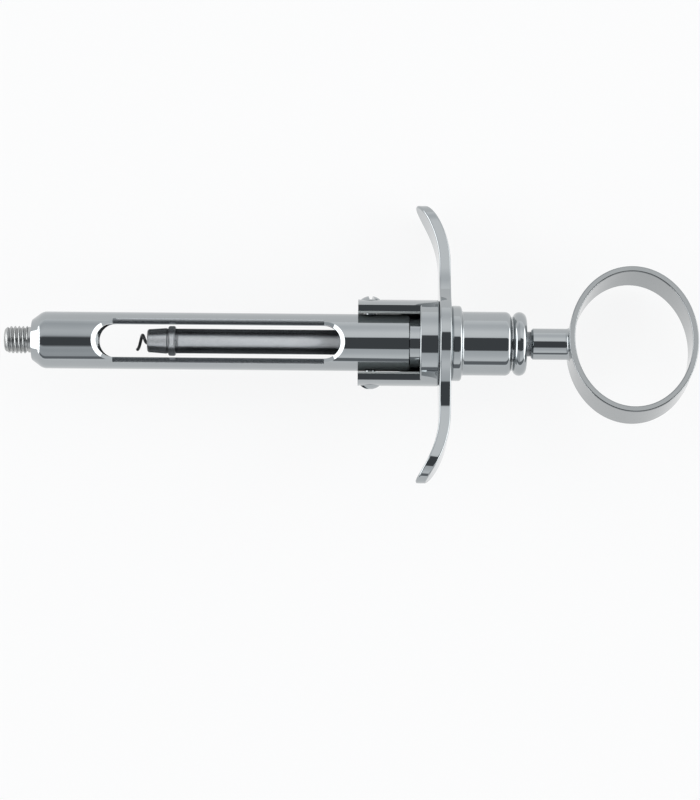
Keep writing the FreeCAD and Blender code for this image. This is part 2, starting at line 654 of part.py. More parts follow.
def thumb_ring():
    """Oval band on a round stem, turned a little about the long axis as the plunger stands."""
    centre = Vector(ring_centre_x, 0, -RING_WIDTH / 2)

    def oval(shrink):
        height = Vector(0, RING_HALF_HEIGHT - shrink, 0)
        length = Vector(RING_HALF_LENGTH - shrink, 0, 0)
        edge = Part.Ellipse(centre + height, centre + length, centre).toShape()
        return Part.Face(Part.Wire(edge)).extrude(Vector(0, 0, RING_WIDTH))

    band = oval(0).cut(oval(RING_WALL))
    rims = [edge for edge in band.Edges if not isinstance(edge.Curve, Part.Line)]
    band = band.makeFillet(RING_EDGE_ROUNDING, rims)
    socket_radius = ROD_END_RADIUS + RUNNING_GAP
    socket_end_x = stem_front_x + ROD_END_LENGTH + STOP_GAP
    stem_end_x = ring_centre_x - RING_HALF_LENGTH + STEM_ROOT
    stem = turned(
        (stem_front_x, socket_radius),
        (stem_front_x, STEM_RADIUS - STEM_FRONT_BREAK),
        (stem_front_x + STEM_FRONT_BREAK, STEM_RADIUS),
        (stem_end_x, STEM_RADIUS),
        (stem_end_x, 0),
        (socket_end_x, 0),
        (socket_end_x, socket_radius),
    )
    ring = band.fuse(stem)
    ring = ring.makeFillet(STEM_WELD, weld_edges(ring))
    return turned_about_axis(ring, RING_TURN)


def save(name, shape):
    """Write one node, as a STEP file named after it."""
    shape.exportStep("parts/" + name + ".step")
    print(name, "solids", len(shape.Solids), "valid", shape.isValid(), "mm3", round(shape.Volume, 1))


os.makedirs("parts", exist_ok=True)
save("needle_adaptor", needle_adaptor())
save("barrel", barrel())
save("fork", fork())
save("pivot_screw_top", pivot_screw(1, SLOT_TURNS["pivot_screw_top"]))
save("pivot_screw_bottom", pivot_screw(-1, SLOT_TURNS["pivot_screw_bottom"]))
save("finger_plate", finger_plate())
save("spring_housing", spring_housing())
save("lock_sleeve", lock_sleeve())
save("lock_spring", lock_spring())
save("pull_knob", pull_knob())
save("friction_ring", friction_ring())
save("piston_rod", piston_rod())
save("hook_holder", hook_holder())
save("corkscrew_hook", corkscrew_hook())
save("thumb_ring", thumb_ring())
print("barrel length", round(barrel_length, 3), "radius", round(barrel_radius, 3), "pivot x", round(pivot_x, 3))
print("lock slide 0 to", LOCK_TRAVEL)
print("plunger slide", round(-plunger_forward, 3), "to", round(plunger_back, 3))
print("sleeve front x", round(sleeve_front_x, 3), "hook tip x", round(hook_tip_x, 3))
print("housing end x", round(housing_end_x, 3), "knob rear x", round(knob_rear_x, 3))
print("ring centre x", round(ring_centre_x, 3), "holder front x", round(holder_front_x, 3))
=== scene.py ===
# %% [markdown]
# # A dental cartridge syringe in polished steel
# The real object is a handful of turned and bent steel pieces. This lesson dresses the exact model of it:
# it sets up the view, builds the studio that the steel reflects, models the pieces that need more detail
# than the plain model has, and gives every piece a finish. Lengths are in metres throughout.

# %% Load the exact model
import math

import bpy
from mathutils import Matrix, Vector


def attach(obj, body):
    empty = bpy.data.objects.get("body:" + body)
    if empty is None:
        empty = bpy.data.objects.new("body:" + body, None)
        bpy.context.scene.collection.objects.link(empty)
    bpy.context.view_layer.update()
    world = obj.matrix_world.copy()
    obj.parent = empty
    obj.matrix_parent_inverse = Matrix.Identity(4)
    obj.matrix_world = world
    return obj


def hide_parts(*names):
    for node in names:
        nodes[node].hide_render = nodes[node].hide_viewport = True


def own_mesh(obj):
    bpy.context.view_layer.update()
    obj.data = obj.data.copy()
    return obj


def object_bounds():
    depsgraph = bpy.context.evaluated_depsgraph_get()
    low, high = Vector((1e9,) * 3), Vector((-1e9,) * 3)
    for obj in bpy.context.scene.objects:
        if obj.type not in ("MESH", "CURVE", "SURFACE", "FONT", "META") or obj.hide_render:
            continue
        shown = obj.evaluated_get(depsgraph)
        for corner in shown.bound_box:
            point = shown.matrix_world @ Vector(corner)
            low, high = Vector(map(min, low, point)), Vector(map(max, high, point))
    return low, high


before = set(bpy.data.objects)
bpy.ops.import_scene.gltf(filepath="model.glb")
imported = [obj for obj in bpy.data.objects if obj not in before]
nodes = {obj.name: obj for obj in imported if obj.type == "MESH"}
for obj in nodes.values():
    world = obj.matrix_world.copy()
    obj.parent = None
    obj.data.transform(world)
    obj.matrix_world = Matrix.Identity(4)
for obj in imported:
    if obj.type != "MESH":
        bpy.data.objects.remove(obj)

cad_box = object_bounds()
scene = bpy.context.scene
scene.view_settings.view_transform = "Standard"
print("nodes:", len(nodes), "box:", [round(c, 4) for corner in cad_box for c in corner])

# %% [markdown]
# ## Camera
# The photograph looks straight down on the syringe from about 0.6 m. A long lens keeps the
# perspective weak, and a small roll gives the slight tilt of the syringe in the picture.

# %% Look straight down
PHOTO_SIZE = (700, 800)                # pixels
PIXELS_PER_METRE = 4600                # at the height of the long axis
VIEW_CENTRE = (0.0691, -0.0125)        # point of the long axis's plane in the middle of the picture
CAMERA_HEIGHT = 0.6                    # above the long axis
CAMERA_ROLL = math.radians(0.5)

view_height = PHOTO_SIZE[1] / PIXELS_PER_METRE
lens = bpy.data.cameras.new("overhead_camera")
lens.lens = lens.sensor_width * CAMERA_HEIGHT / view_height
lens.clip_start = 0.05
camera = bpy.data.objects.new("overhead_camera", lens)
camera.location = (*VIEW_CENTRE, CAMERA_HEIGHT)
camera.rotation_euler = (0, 0, CAMERA_ROLL)
scene.collection.objects.link(camera)
scene.camera = camera
print("lens:", round(lens.lens, 1), "mm")

# %% [markdown]
# ## Table
# The syringe lies on a plain pale surface. It touches it with the finger plate, so the floor
# goes at the lowest point of the model. The paper is lit from below as well as from above, as on a
# light table: that share is a plain glow, and the rest is dull paper that takes the faint, soft
# shadow of the photograph. The glow is for the camera and for what the steel mirrors, so it adds
# no light to the scene. One small helper adds shader nodes, here and in every finish below.

# %% Pale floor
FLOOR_SIZE = 8.0
PAPER = (0.94, 0.942, 0.945, 1.0)
PAPER_ROUGHNESS = 0.9
GLOW_SHARE = 0.87                      # of what the camera and the steel see of the table
GLOW = (0.99, 0.992, 0.994, 1.0)


def add_node(tree, kind, **settings):
    """Add a shader node and set its plain properties."""
    node = tree.nodes.new(kind)
    for name, value in settings.items():
        setattr(node, name, value)
    return node


bpy.ops.object.select_all(action="DESELECT")
bpy.ops.mesh.primitive_plane_add(size=FLOOR_SIZE, location=(VIEW_CENTRE[0], 0, cad_box[0].z))
floor = bpy.context.object
floor.name = "floor"
floor_finish = bpy.data.materials.new("light_table")
floor_finish.use_nodes = True
tree = floor_finish.node_tree
paper = tree.nodes["Principled BSDF"]
paper.inputs["Base Color"].default_value = PAPER
paper.inputs["Roughness"].default_value = PAPER_ROUGHNESS
paper.inputs["Specular IOR Level"].default_value = 0.0
glow = add_node(tree, "ShaderNodeEmission")
glow.inputs["Color"].default_value = GLOW
rays = add_node(tree, "ShaderNodeLightPath")
seen = add_node(tree, "ShaderNodeMath", operation="ADD", use_clamp=True)
tree.links.new(rays.outputs["Is Camera Ray"], seen.inputs[0])
tree.links.new(rays.outputs["Is Glossy Ray"], seen.inputs[1])
seen_through = add_node(tree, "ShaderNodeMath", operation="ADD", use_clamp=True)
tree.links.new(seen.outputs[0], seen_through.inputs[0])
tree.links.new(rays.outputs["Is Transmission Ray"], seen_through.inputs[1])
share = add_node(tree, "ShaderNodeMath", operation="MULTIPLY")
share.inputs[1].default_value = GLOW_SHARE
tree.links.new(seen_through.outputs[0], share.inputs[0])
mixed = add_node(tree, "ShaderNodeMixShader")
tree.links.new(share.outputs[0], mixed.inputs["Fac"])
tree.links.new(paper.outputs["BSDF"], mixed.inputs[1])
tree.links.new(glow.outputs["Emission"], mixed.inputs[2])
tree.links.new(mixed.outputs["Shader"], tree.nodes["Material Output"].inputs["Surface"])
floor.data.materials.append(floor_finish)
print("floor at z =", round(cad_box[0].z, 4))

# %% [markdown]
# ## Studio
# Polished steel has almost no look of its own: it shows what stands around it. The studio is
# therefore painted on the world as a ring of soft panels. Overhead is a dark gap, where the camera
# looks through, and it gives the dark stripe along every round piece. Panels stand on both
# long sides, and two brighter ones at the ends light up every face that leans that way.
# A direction of the world is read as two angles: one around the long axis, and one towards its ends.
# Towards the needle end the room is a little dimmer and the dark gap narrower, so that end has panels of
# its own, which blend into the others.

# %% Panels around the long axis
WORLD_STRENGTH = 1.25
DARK = 0.088                           # the gap overhead
COOLNESS = 0.07                        # how blue a black panel would be
END_PANEL_LIGHT = 2.8
END_PANEL_START = math.sin(math.radians(52))   # how far a direction leans to an end before it meets a panel
PANEL_EDGE = 0.012                     # half the width of an end panel's soft edge, in the same measure
# Degrees from straight up towards +Y, and the light that comes from there
SIDE_PANELS = [
    (-180, 0.80), (-90, 0.84), (-84, 0.80), (-82.5, 0.20), (-68.5, 0.20), (-67, 0.84), (-58, 0.84),
    (-45, 0.71), (-28, 0.64), (-26, DARK), (19, DARK), (21, 0.88), (30, 0.95), (42, 0.93), (50, 0.84),
    (58, 0.76), (68, 0.74), (80, 0.86), (90, 0.92), (180, 0.90),
]
NEEDLE_END_PANELS = [
    (-180, 0.80), (-90, 0.84), (-84, 0.80), (-82.5, 0.20), (-72, 0.20), (-70, 0.50), (-57, 0.54),
    (-48, 0.50), (-40, 0.50), (-31, 0.55), (-22, DARK), (9, DARK), (18, 0.62), (26, 0.72), (38, 0.75),
    (50, 0.68), (60, 0.63), (69, 0.59), (80, 0.69), (90, 0.86), (180, 0.90),
]
NEEDLE_END_LEAN = (-0.035, -0.075)     # X of the directions between which one ring takes over from the other

world = bpy.data.worlds.new("studio")
world.use_nodes = True
scene.world = world
tree = world.node_tree
background = tree.nodes["Background"]
background.inputs["Strength"].default_value = WORLD_STRENGTH
place = add_node(tree, "ShaderNodeTexCoord")
split = add_node(tree, "ShaderNodeSeparateXYZ")
tree.links.new(place.outputs["Generated"], split.inputs["Vector"])

around = add_node(tree, "ShaderNodeMath", operation="ARCTAN2")
tree.links.new(split.outputs["Y"], around.inputs[0])
tree.links.new(split.outputs["Z"], around.inputs[1])
turn = add_node(tree, "ShaderNodeMapRange")
turn.inputs["From Min"].default_value = -math.pi
turn.inputs["From Max"].default_value = math.pi
tree.links.new(around.outputs[0], turn.inputs["Value"])


def shade(grey):
    """Colour of a panel: the darker it is, the cooler."""
    cool = COOLNESS * (1 - grey)
    return (grey * (1 - cool), grey, grey * (1 + cool), 1)


def fill_ramp(node, stops):
    """Set a colour ramp's stops, given as (place from 0 to 1, grey)."""
    ramp = node.color_ramp
    while len(ramp.elements) > 2:
        ramp.elements.remove(ramp.elements[-1])
    for element, (where, grey) in zip(ramp.elements, (stops[0], stops[-1])):
        element.position = where
        element.color = shade(grey)
    for where, grey in stops[1:-1]:
        ramp.elements.new(where).color = shade(grey)


rings = []
for panels in (SIDE_PANELS, NEEDLE_END_PANELS):
    ring_light = add_node(tree, "ShaderNodeValToRGB")
    fill_ramp(ring_light, [((degrees + 180) / 360, grey) for degrees, grey in panels])
    tree.links.new(turn.outputs["Result"], ring_light.inputs["Fac"])
    rings.append(ring_light)
needle_end = add_node(tree, "ShaderNodeMapRange")
needle_end.inputs["From Min"].default_value = NEEDLE_END_LEAN[0]
needle_end.inputs["From Max"].default_value = NEEDLE_END_LEAN[1]
tree.links.new(split.outputs["X"], needle_end.inputs["Value"])
side_light = add_node(tree, "ShaderNodeMix", data_type="RGBA")
tree.links.new(needle_end.outputs["Result"], side_light.inputs["Factor"])
tree.links.new(rings[0].outputs["Color"], side_light.inputs["A"])
tree.links.new(rings[1].outputs["Color"], side_light.inputs["B"])

lean = add_node(tree, "ShaderNodeMath", operation="ABSOLUTE")
tree.links.new(split.outputs["X"], lean.inputs[0])
at_end = add_node(tree, "ShaderNodeMapRange")
at_end.inputs["From Min"].default_value = END_PANEL_START - PANEL_EDGE
at_end.inputs["From Max"].default_value = END_PANEL_START + PANEL_EDGE
tree.links.new(lean.outputs[0], at_end.inputs["Value"])
studio = add_node(tree, "ShaderNodeMix", data_type="RGBA")
tree.links.new(at_end.outputs["Result"], studio.inputs["Factor"])
tree.links.new(side_light.outputs["Result"], studio.inputs["A"])
studio.inputs["B"].default_value = (END_PANEL_LIGHT,) * 3 + (1,)
tree.links.new(studio.outputs["Result"], background.inputs["Color"])
print("studio panels:", len(SIDE_PANELS), "and", len(NEEDLE_END_PANELS))

# %% [markdown]
# ## Finishes
# Steel that is handled and sterilised often keeps fine hairlines and faint clouds where it was wiped.
# Both are one node group, placed in every finish with its own values. The hairlines run
# around the long axis, because the pieces were polished while they turned.

# %% Group: wear of handled steel
CLOUD_SCALE = 140.0
CLOUD_DETAIL = 4.0
CLOUD_RANGE = (0.3, 0.7)               # of the cloud noise, over which the roughness spreads
HAIRLINE_SCALE = (9000.0, 260.0, 260.0)
HAIRLINE_DETAIL = 3.0


def handled_steel():
    """Build the group that gives hairlines and clouds from a place on the object."""
    group = bpy.data.node_groups.new("handled_steel", "ShaderNodeTree")
    sockets = group.interface
    sockets.new_socket("Place", in_out="INPUT", socket_type="NodeSocketVector")
    sockets.new_socket("Hairlines", in_out="INPUT", socket_type="NodeSocketFloat")
    sockets.new_socket("Least roughness", in_out="INPUT", socket_type="NodeSocketFloat")
    sockets.new_socket("Most roughness", in_out="INPUT", socket_type="NodeSocketFloat")
    sockets.new_socket("Roughness", in_out="OUTPUT", socket_type="NodeSocketFloat")
    sockets.new_socket("Clouds", in_out="OUTPUT", socket_type="NodeSocketFloat")
    sockets.new_socket("Height", in_out="OUTPUT", socket_type="NodeSocketFloat")
    inside = group.nodes.new("NodeGroupInput")
    outside = group.nodes.new("NodeGroupOutput")

    clouds = add_node(group, "ShaderNodeTexNoise")
    clouds.inputs["Scale"].default_value = CLOUD_SCALE
    clouds.inputs["Detail"].default_value = CLOUD_DETAIL
    group.links.new(inside.outputs["Place"], clouds.inputs["Vector"])

    stretch = add_node(group, "ShaderNodeMapping")
    stretch.inputs["Scale"].default_value = HAIRLINE_SCALE
    group.links.new(inside.outputs["Place"], stretch.inputs["Vector"])
    lines = add_node(group, "ShaderNodeTexNoise")
    lines.inputs["Scale"].default_value = 1.0
    lines.inputs["Detail"].default_value = HAIRLINE_DETAIL
    group.links.new(stretch.outputs["Vector"], lines.inputs["Vector"])

    spread = add_node(group, "ShaderNodeMapRange")
    spread.inputs["From Min"].default_value = CLOUD_RANGE[0]
    spread.inputs["From Max"].default_value = CLOUD_RANGE[1]
    group.links.new(clouds.outputs["Fac"], spread.inputs["Value"])
    group.links.new(inside.outputs["Least roughness"], spread.inputs["To Min"])
    group.links.new(inside.outputs["Most roughness"], spread.inputs["To Max"])

    raised = add_node(group, "ShaderNodeMath", operation="MULTIPLY")
    group.links.new(lines.outputs["Fac"], raised.inputs[0])
    group.links.new(inside.outputs["Hairlines"], raised.inputs[1])

    group.links.new(spread.outputs["Result"], outside.inputs["Roughness"])
    group.links.new(clouds.outputs["Fac"], outside.inputs["Clouds"])
    group.links.new(raised.outputs[0], outside.inputs["Height"])
    return group


HANDLED_STEEL = handled_steel()
print("group:", HANDLED_STEEL.name, "with", len(HANDLED_STEEL.nodes), "nodes")

# %% [markdown]
# Each steel is the same recipe with other numbers: two greys that the clouds mix, a range of
# roughness, and the depth of its hairlines. The polished steel is nearly a mirror, the plunger is
# a darker satin steel, the needle thread is a slightly matt one, and the hook is nearly black.

# %% Steels
HAIRLINE_DEPTH = 0.0001                # metres, for a height of one


def steel(name, dark, light, roughness, hairlines, metallic=1.0):
    """Steel between two greys, with a (least, most) roughness."""
    material = bpy.data.materials.new(name)
    material.use_nodes = True
    tree = material.node_tree
    shader = tree.nodes["Principled BSDF"]
    shader.inputs["Metallic"].default_value = metallic
    place = add_node(tree, "ShaderNodeTexCoord")
    wear = add_node(tree, "ShaderNodeGroup", node_tree=HANDLED_STEEL)
    wear.inputs["Hairlines"].default_value = hairlines
    wear.inputs["Least roughness"].default_value = roughness[0]
    wear.inputs["Most roughness"].default_value = roughness[1]
    tree.links.new(place.outputs["Object"], wear.inputs["Place"])
    tree.links.new(wear.outputs["Roughness"], shader.inputs["Roughness"])
    tint = add_node(tree, "ShaderNodeMix", data_type="RGBA")
    tint.inputs["A"].default_value = (*dark, 1)
    tint.inputs["B"].default_value = (*light, 1)
    tree.links.new(wear.outputs["Clouds"], tint.inputs["Factor"])
    tree.links.new(tint.outputs["Result"], shader.inputs["Base Color"])
    bump = add_node(tree, "ShaderNodeBump")
    bump.inputs["Distance"].default_value = HAIRLINE_DEPTH
    tree.links.new(wear.outputs["Height"], bump.inputs["Height"])
    tree.links.new(bump.outputs["Normal"], shader.inputs["Normal"])
    return material


POLISHED_GREYS = ((0.375, 0.398, 0.410), (0.402, 0.424, 0.436))
POLISHED_ROUGHNESS = (0.02, 0.06)
POLISHED_HAIRLINES = 0.004

POLISHED = steel("polished_steel", *POLISHED_GREYS, POLISHED_ROUGHNESS, POLISHED_HAIRLINES)
THREAD = steel("thread_steel", (0.42, 0.43, 0.43), (0.50, 0.505, 0.505), (0.28, 0.38), 0.02)
PLUNGER = steel("plunger_steel", (0.21, 0.22, 0.23), (0.24, 0.25, 0.26), (0.16, 0.24), 0.0)
HOOK = steel("hook_steel", (0.045, 0.048, 0.051), (0.065, 0.068, 0.071), (0.45, 0.55), 0.02, metallic=0.3)
SPRING = steel("spring_steel", (0.24, 0.24, 0.25), (0.30, 0.30, 0.31), (0.25, 0.40), 0.02)
print("steels:", [m.name for m in (POLISHED, THREAD, PLUNGER, HOOK, SPRING)])

# %% [markdown]
# The rod and its tip are left as they came from the lathe: very fine grooves, with flanks that lean to both
# ends of the syringe. They gather the light of the end panels, so the rod has one soft bright line on top
# where the polished pieces have a dark stripe.

# %% Turning marks
TURNING_PITCH = 0.00012
TURNING_LEAN = math.radians(28)        # of the grooves' flanks


def add_height(material, height):
    """Add a height in metres to the bump of a steel."""
    tree = material.node_tree
    bump = tree.nodes["Bump"]
    scaled = add_node(tree, "ShaderNodeMath", operation="MULTIPLY_ADD")
    scaled.inputs[1].default_value = 1 / HAIRLINE_DEPTH
    tree.links.new(height, scaled.inputs[0])
    tree.links.new(bump.inputs["Height"].links[0].from_socket, scaled.inputs[2])
    tree.links.new(scaled.outputs[0], bump.inputs["Height"])


def turning_marks(material):
    """Cut grooves around the long axis into a steel."""
    tree = material.node_tree
    axes = add_node(tree, "ShaderNodeSeparateXYZ")
    tree.links.new(tree.nodes["Texture Coordinate"].outputs["Object"], axes.inputs["Vector"])
    flanks = add_node(tree, "ShaderNodeMath", operation="PINGPONG")
    flanks.inputs[1].default_value = TURNING_PITCH / 2
    tree.links.new(axes.outputs["X"], flanks.inputs[0])
    steep = add_node(tree, "ShaderNodeMath", operation="MULTIPLY")
    steep.inputs[1].default_value = math.tan(TURNING_LEAN)
    tree.links.new(flanks.outputs[0], steep.inputs[0])
    add_height(material, steep.outputs[0])


turning_marks(PLUNGER)
print("grooves:", round(0.001 / TURNING_PITCH, 1), "to a millimetre")

# %% [markdown]
# Three pieces have a region where light or shade is painted into the polished steel. The walls of the
# barrel's windows are painted lighter and are a little rougher, and the slot between the fork's arms is
# painted lighter and nearly matt, both as painted light; the thumb ring's band is painted darker, as painted
# shade. Each of them is the polished steel with one region of its own, which is given as a box.

# %% Polished steel with a region of its own
# Centre and half size of each region
WINDOW_WALLS_PAINTED_LIGHT = ((0.04055, 0, 0.003415), (0.02285, 0.00477, 0.000635))
FORK_SLOT_PAINTED_LIGHT = ((0.0770, 0, 0), (0.0070, 0.00672, None))
RING_BAND_PAINTED_SHADE = ((0.1308, 0, 0), (0.0143, None, None))
WINDOW_END = 0.0634                    # X of the centre that the windows' rear ends are round about
BEVEL_REACH = (0.0036, 0.0045)         # inner and outer radius of the bevel there
BEVEL_EASE = math.radians(3)


def regional_steel(name, centre, half, greys, roughness, metallic=1.0):
    """Painted greys, roughness and metalness of its own on polished steel in a box, in metres; None leaves
    an axis open.
    """
    material = steel(name, *POLISHED_GREYS, POLISHED_ROUGHNESS, POLISHED_HAIRLINES)
    tree = material.node_tree
    shader = tree.nodes["Principled BSDF"]
    place = tree.nodes["Texture Coordinate"]
    axes = add_node(tree, "ShaderNodeSeparateXYZ")
    tree.links.new(place.outputs["Object"], axes.inputs["Vector"])
    inside = None
    for axis, middle, reach in zip(axes.outputs, centre, half):
        if reach is None:
            continue
        near = add_node(tree, "ShaderNodeMath", operation="COMPARE")
        near.inputs[1].default_value = middle
        near.inputs[2].default_value = reach
        tree.links.new(axis, near.inputs[0])
        if inside:
            both = add_node(tree, "ShaderNodeMath", operation="MULTIPLY")
            tree.links.new(inside, both.inputs[0])
            tree.links.new(near.outputs[0], both.inputs[1])
            inside = both.outputs[0]
        else:
            inside = near.outputs[0]
    wear = tree.nodes["Group"]
    painted_region_tone = add_node(tree, "ShaderNodeMix", data_type="RGBA")
    painted_region_tone.inputs["A"].default_value = (*greys[0], 1)
    painted_region_tone.inputs["B"].default_value = (*greys[1], 1)
    tree.links.new(wear.outputs["Clouds"], painted_region_tone.inputs["Factor"])
    tint = add_node(tree, "ShaderNodeMix", data_type="RGBA")
    tree.links.new(inside, tint.inputs["Factor"])
    tree.links.new(shader.inputs["Base Color"].links[0].from_socket, tint.inputs["A"])
    tree.links.new(painted_region_tone.outputs["Result"], tint.inputs["B"])
    tree.links.new(tint.outputs["Result"], shader.inputs["Base Color"])
    rough = add_node(tree, "ShaderNodeMix", data_type="FLOAT")
    tree.links.new(inside, rough.inputs["Factor"])
    tree.links.new(wear.outputs["Roughness"], rough.inputs["A"])
    rough.inputs["B"].default_value = roughness
    tree.links.new(rough.outputs["Result"], shader.inputs["Roughness"])
    metal = add_node(tree, "ShaderNodeMix", data_type="FLOAT")
    tree.links.new(inside, metal.inputs["Factor"])
    metal.inputs["A"].default_value = 1.0
    metal.inputs["B"].default_value = metallic
    tree.links.new(metal.outputs["Result"], shader.inputs["Metallic"])
    return material


def ease_bevel(material, centre_x, inner, outer, lean):
    """Lean the half-round bevel behind an upright line at centre_x a little flatter."""
    tree = material.node_tree
    from_line = add_node(tree, "ShaderNodeVectorMath", operation="SUBTRACT")
    from_line.inputs[1].default_value = (centre_x, 0, 0)
    tree.links.new(tree.nodes["Texture Coordinate"].outputs["Object"], from_line.inputs[0])
    level = add_node(tree, "ShaderNodeVectorMath", operation="MULTIPLY")
    level.inputs[1].default_value = (1, 1, 0)
    tree.links.new(from_line.outputs[0], level.inputs[0])
    distance = add_node(tree, "ShaderNodeVectorMath", operation="LENGTH")
    tree.links.new(level.outputs[0], distance.inputs[0])
    ramp = add_node(tree, "ShaderNodeMapRange")
    ramp.inputs["From Min"].default_value = inner
    ramp.inputs["From Max"].default_value = outer
    ramp.inputs["To Min"].default_value = (outer - inner) * math.tan(lean)
    ramp.inputs["To Max"].default_value = 0.0
    tree.links.new(distance.outputs["Value"], ramp.inputs["Value"])
    place = add_node(tree, "ShaderNodeSeparateXYZ")
    tree.links.new(from_line.outputs[0], place.inputs[0])
    behind = add_node(tree, "ShaderNodeMath", operation="GREATER_THAN")
    tree.links.new(place.outputs["X"], behind.inputs[0])
    behind.inputs[1].default_value = 0.0
    only_behind = add_node(tree, "ShaderNodeMath", operation="MULTIPLY")
    tree.links.new(ramp.outputs["Result"], only_behind.inputs[0])
    tree.links.new(behind.outputs[0], only_behind.inputs[1])
    add_height(material, only_behind.outputs[0])


# The window walls' own greys are painted light: lighter than the polished steel, and a little rougher.
BARREL = regional_steel("barrel_steel", *WINDOW_WALLS_PAINTED_LIGHT,
                        ((0.50, 0.525, 0.545), (0.56, 0.585, 0.605)), 0.12)
ease_bevel(BARREL, WINDOW_END, *BEVEL_REACH, BEVEL_EASE)
# The fork slot's own greys are painted light: lighter than the polished steel, and nearly matt.
FORK = regional_steel("fork_steel", *FORK_SLOT_PAINTED_LIGHT,
                      ((0.42, 0.45, 0.445), (0.48, 0.51, 0.505)), 0.5, metallic=0.1)
# The ring band's own greys are painted shade: darker than the polished steel.
RING = regional_steel("ring_steel", *RING_BAND_PAINTED_SHADE,
                      ((0.29, 0.305, 0.312), (0.33, 0.345, 0.352)), 0.09)
print("regional steels:", BARREL.name, FORK.name, RING.name)

# %% [markdown]
# The ring in the knob is the one piece that is not steel. It is black rubber, and it grips the rod.

# %% Rubber
RUBBER_GRAIN = 9000.0


def rubber():
    """Black rubber with a fine grain."""
    material = bpy.data.materials.new("black_rubber")
    material.use_nodes = True
    tree = material.node_tree
    shader = tree.nodes["Principled BSDF"]
    shader.inputs["Roughness"].default_value = 0.8
    place = add_node(tree, "ShaderNodeTexCoord")
    grain = add_node(tree, "ShaderNodeTexNoise")
    grain.inputs["Scale"].default_value = RUBBER_GRAIN
    tree.links.new(place.outputs["Object"], grain.inputs["Vector"])
    tint = add_node(tree, "ShaderNodeMix", data_type="RGBA")
    tint.inputs["A"].default_value = (0.012, 0.012, 0.013, 1)
    tint.inputs["B"].default_value = (0.032, 0.032, 0.034, 1)
    tree.links.new(grain.outputs["Fac"], tint.inputs["Factor"])
    tree.links.new(tint.outputs["Result"], shader.inputs["Base Color"])
    return material


RUBBER = rubber()
print("rubber:", RUBBER.name)

# %% [markdown]
# ## Turned pieces
# Most of a syringe comes from the lathe. A turned piece starts as a single point, which is drawn out
# corner by corner into half of its outline, and the outline is then spun about the long axis.

# %% Draw an outline and spin it
MILLIMETRE = 0.001
AROUND = 144                           # steps of a full spin
SAME_POINT = 1e-7                      # metres within which two points are one
SMOOTH_BELOW = math.radians(32)        # edges that turn more than this stay sharp


def draw_outline(name, corners):
    """Draw a closed outline through corners given as (x, radius) in millimetres, in the plane of X and Z."""
    points = [Vector((x, 0, radius)) * MILLIMETRE for x, radius in corners]
    bpy.ops.object.select_all(action="DESELECT")
    bpy.ops.mesh.primitive_plane_add(size=MILLIMETRE)
    piece = bpy.context.object
    piece.name = piece.data.name = name
    bpy.ops.object.mode_set(mode="EDIT")
    bpy.ops.mesh.merge(type="CENTER")
    bpy.ops.transform.translate(value=points[0])
    for here, there in zip(points, points[1:] + points[:1]):
        bpy.ops.mesh.extrude_region_move(TRANSFORM_OT_translate={"value": there - here})
    bpy.ops.mesh.select_all(action="SELECT")
    bpy.ops.mesh.remove_doubles(threshold=SAME_POINT)
    bpy.ops.object.mode_set(mode="OBJECT")
    return piece


def clean_up(piece):
    """Weld doubled points, turn all faces outwards and shade the piece smooth between its sharp edges."""
    bpy.ops.object.select_all(action="DESELECT")
    piece.select_set(True)
    bpy.context.view_layer.objects.active = piece
    bpy.ops.object.mode_set(mode="EDIT")
    bpy.ops.mesh.select_all(action="SELECT")
    bpy.ops.mesh.remove_doubles(threshold=SAME_POINT)
    bpy.ops.mesh.normals_make_consistent(inside=False)
    bpy.ops.object.mode_set(mode="OBJECT")
    bpy.ops.object.shade_smooth_by_angle(angle=SMOOTH_BELOW)


def turn_piece(name, corners):
    """Spin a closed outline about the long axis into a solid piece."""
    piece = draw_outline(name, corners)
    bpy.ops.object.mode_set(mode="EDIT")
    bpy.ops.mesh.select_all(action="SELECT")
    bpy.ops.mesh.spin(steps=AROUND, angle=math.tau, center=(0, 0, 0), axis=(1, 0, 0))
    bpy.ops.object.mode_set(mode="OBJECT")
    clean_up(piece)
    return piece


def apply_all(piece):
    """Apply every modifier of a piece."""
    bpy.context.view_layer.objects.active = piece
    for modifier in list(piece.modifiers):
        bpy.ops.object.modifier_apply(modifier=modifier.name)


def combine(piece, tool, operation):
    """Join a piece with a tool object, or cut it by one, and delete the tool."""
    modifier = piece.modifiers.new(operation.lower(), "BOOLEAN")
    modifier.operation = operation
    modifier.solver = "EXACT"
    modifier.object = tool
    apply_all(piece)
    bpy.data.objects.remove(tool, do_unlink=True)


def finish_piece(piece, body, node, material):
    """Give a piece its finish and its body, and hide the node that it stands for."""
    piece.data.materials.clear()
    piece.data.materials.append(material)
    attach(piece, body)
    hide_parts(node)
    print(piece.name, "faces:", len(piece.data.polygons))


# %% [markdown]
# ## Needle thread
# The needle's hub screws on a fine thread, which the exact model leaves plain. One tooth of the thread is
# drawn and run along a helix by a Screw modifier. The helical ridge is joined to a core, and both are cut
# to the rounded shape of the stub's end. The rest of this adaptor holds the cartridge's cap inside the
# nose. All sizes of these pieces are in millimetres.

# %% One tooth along a helix
THREAD_PITCH = 0.86
THREAD_CREST = 3.0
THREAD_ROOT = 2.5
THREAD_NECK = 2.78                     # plain stretch against the nose
NEEDLE_HOLE = 1.2
TOOTH_SHAPE = [(-0.40, 2.42), (-0.30, 2.62), (-0.20, 2.80), (-0.10, 2.94), (0, THREAD_CREST),
               (0.10, 2.94), (0.20, 2.80), (0.30, 2.62), (0.40, 2.42)]
THREAD_TURNS = 7
THREAD_START = -7.0                    # ahead of the stub, so that its cut end shows no start
STUB_FRONT = -6.0
THREAD_STEPS = 72

